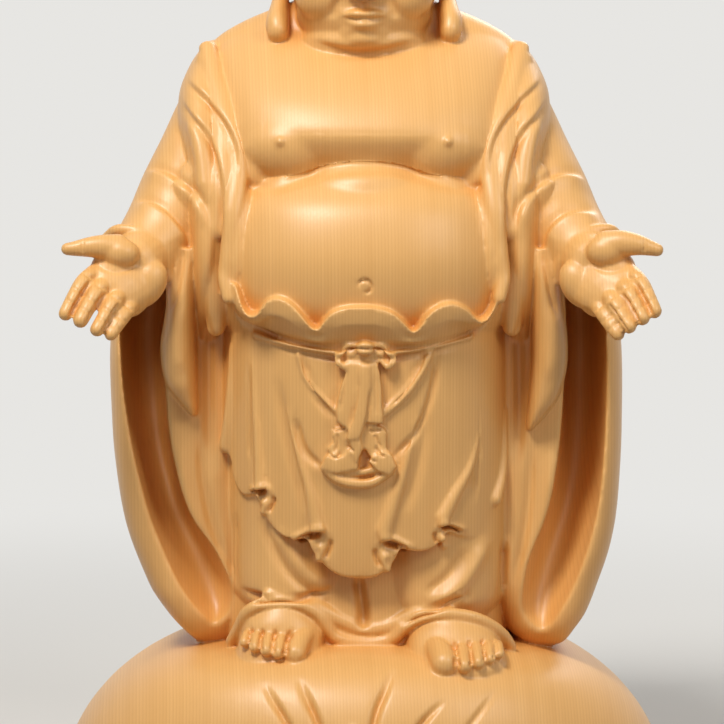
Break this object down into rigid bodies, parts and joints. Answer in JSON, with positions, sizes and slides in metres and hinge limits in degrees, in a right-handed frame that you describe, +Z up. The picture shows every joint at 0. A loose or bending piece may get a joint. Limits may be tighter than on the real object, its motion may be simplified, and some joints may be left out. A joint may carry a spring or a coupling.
{
  "type": "standing hotei figure",
  "caption": "Carved wooden hotei standing with open arms and wide hanging sleeves on a rounded plinth, all one piece.",
  "frame": {"origin": "middle of the plinth's flat underside", "axes": "+Z up, -Y towards the figure's front, +X to the viewer's right when looking at the front"},
  "size_m": [0.1948, 0.1534, 0.2998],
  "materials": {
    "wood": "pale yellow fine-grained wood, carved and sanded smooth, satin"
  },
  "bodies": {
    "root": {"hotei_figure": "wood"}
  },
  "joints": []
}
